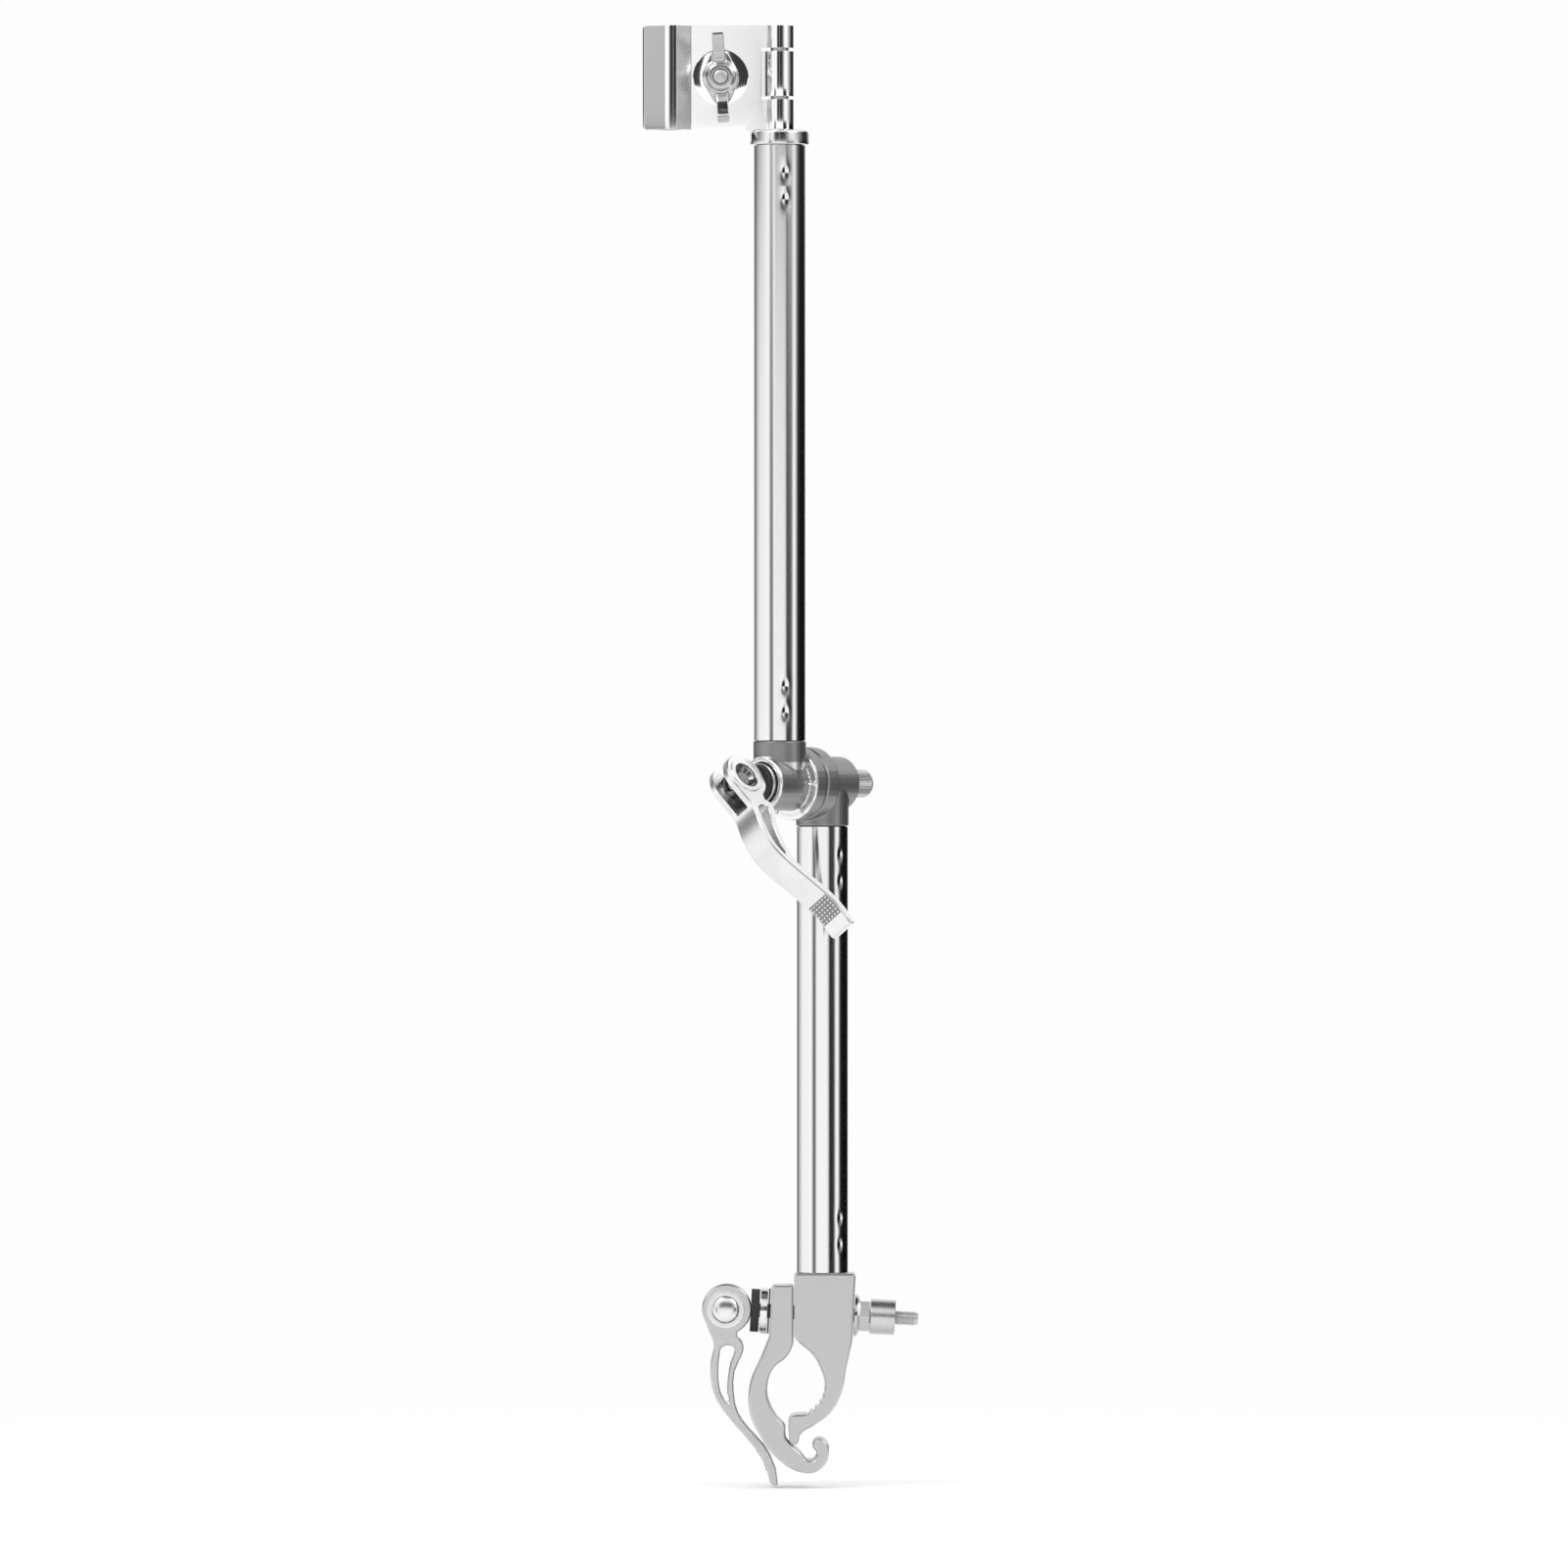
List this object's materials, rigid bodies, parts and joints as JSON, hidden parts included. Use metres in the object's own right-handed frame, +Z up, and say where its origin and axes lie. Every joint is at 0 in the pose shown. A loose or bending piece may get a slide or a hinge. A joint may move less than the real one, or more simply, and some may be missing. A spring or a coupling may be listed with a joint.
{
  "type": "umbrella holder",
  "caption": "folding two-tube arm with a hooked quick-release handlebar clamp below and a hinged wing-nut clamp for an umbrella shaft above",
  "frame": {"origin": "centre of the handlebar bore, halfway through the clamp's depth", "axes": "+Z up along the tubes, +X to the right as pictured, towards the skewer's nuts, +Y away from the viewer along the handlebar"},
  "size_m": [0.1169, 0.084, 0.6191],
  "materials": {
    "polished_stainless": "polished stainless steel, mirror bright",
    "satin_alloy": "light grey satin die casting",
    "grey_casting": "mid grey satin die casting",
    "zinc_steel": "bright zinc-plated steel",
    "black_nylon": "black moulded nylon",
    "black_rubber": "black rubber"
  },
  "bodies": {
    "lower_arm": {"clamp_body": "satin_alloy", "lower_tube": "polished_stainless", "joint_base": "grey_casting"},
    "clamp_jaw": {"clamp_jaw": "satin_alloy"},
    "clamp_skewer": {"clamp_rod": "zinc_steel", "clamp_trunnion": "polished_stainless", "clamp_follower": "black_nylon", "clamp_washer": "polished_stainless", "clamp_seal": "black_rubber"},
    "clamp_lever": {"clamp_lever": "satin_alloy"},
    "clamp_nuts": {"clamp_flange_nut": "zinc_steel", "clamp_barrel_nut": "zinc_steel"},
    "upper_arm": {"joint_head": "grey_casting", "joint_seal": "black_rubber", "joint_spring": "zinc_steel", "upper_tube": "polished_stainless", "top_cap": "polished_stainless", "hinge_pin": "zinc_steel", "front_leaf": "polished_stainless"},
    "joint_washers": {"joint_washer": "zinc_steel"},
    "joint_skewer": {"joint_rod": "zinc_steel", "joint_trunnion": "polished_stainless", "joint_follower": "black_nylon"},
    "joint_lever": {"joint_lever": "satin_alloy"},
    "joint_nut": {"joint_nut": "zinc_steel"},
    "rear_leaf": {"rear_leaf": "polished_stainless", "leaf_bolt": "zinc_steel"},
    "wing_washer": {"wing_washer": "zinc_steel"},
    "wing_nut": {"wing_nut": "zinc_steel"}
  },
  "joints": [
    {"name": "clamp_nut_turn", "type": "hinge", "parent": "lower_arm", "child": "clamp_nuts", "pos_m": [0, 0, 0.03155], "axis": [0.9986, 0, -0.0523], "range_deg": [0, 2880]},
    {"name": "clamp_skewer_slide", "type": "slide", "parent": "lower_arm", "child": "clamp_skewer", "axis": [-0.9986, 0, 0.0523], "range_m": [0, 0.008]},
    {"name": "clamp_jaw_open", "type": "hinge", "parent": "lower_arm", "child": "clamp_jaw", "pos_m": [-0.0009, 0, -0.022], "axis": [0, -1, 0], "range_deg": [0, 7.11]},
    {"name": "clamp_lever_open", "type": "hinge", "parent": "clamp_skewer", "child": "clamp_lever", "pos_m": [-0.03006, 0, 0.03313], "axis": [0, 1, 0], "range_deg": [0, 170]},
    {"name": "arm_fold", "type": "hinge", "parent": "lower_arm", "child": "upper_arm", "pos_m": [-0.00703, -0.02014, 0.2564], "axis": [-0.6691, -0.7431, 0], "range_deg": [-150, 150]},
    {"name": "joint_nut_turn", "type": "hinge", "parent": "lower_arm", "child": "joint_nut", "pos_m": [0.0111, 0, 0.2564], "axis": [0.6691, 0.7431, 0], "range_deg": [0, 1440]},
    {"name": "joint_skewer_slide", "type": "slide", "parent": "upper_arm", "child": "joint_washers", "axis": [-0.6691, -0.7431, 0], "range_m": [0, 0.004]},
    {"name": "joint_lever_swivel", "type": "hinge", "parent": "joint_washers", "child": "joint_skewer", "pos_m": [-0.00703, -0.02014, 0.2564], "axis": [-0.6691, -0.7431, 0], "range_deg": [-184, 116]},
    {"name": "joint_lever_open", "type": "hinge", "parent": "joint_skewer", "child": "joint_lever", "pos_m": [-0.0251, -0.0402, 0.2564], "axis": [-0.6161, 0.5547, -0.5592], "range_deg": [0, 170]},
    {"name": "wing_nut_turn", "type": "hinge", "parent": "wing_washer", "child": "wing_nut", "pos_m": [-0.03203, -0.0242, 0.5554], "axis": [0, -1, 0], "range_deg": [0, 2376]},
    {"name": "rear_leaf_open", "type": "hinge", "parent": "upper_arm", "child": "rear_leaf", "pos_m": [-0.00703, -0.02014, 0.5554], "axis": [0, 0, -1], "range_deg": [0, 10]},
    {"name": "wing_washer_slide", "type": "slide", "parent": "rear_leaf", "child": "wing_washer", "axis": [0, -1, 0], "range_m": [0, 0.0066]}
  ],
  "couplings": [
    {"joint": "clamp_nut_turn", "follows": "clamp_skewer_slide", "rad_per_m": 6283.2},
    {"joint": "clamp_jaw_open", "follows": "clamp_skewer_slide", "rad_per_m": 15.5},
    {"joint": "joint_nut_turn", "follows": "joint_skewer_slide", "rad_per_m": 6283.2},
    {"joint": "wing_nut_turn", "follows": "wing_washer_slide", "rad_per_m": 6283.2},
    {"joint": "rear_leaf_open", "follows": "wing_washer_slide", "rad_per_m": 26.44}
  ]
}
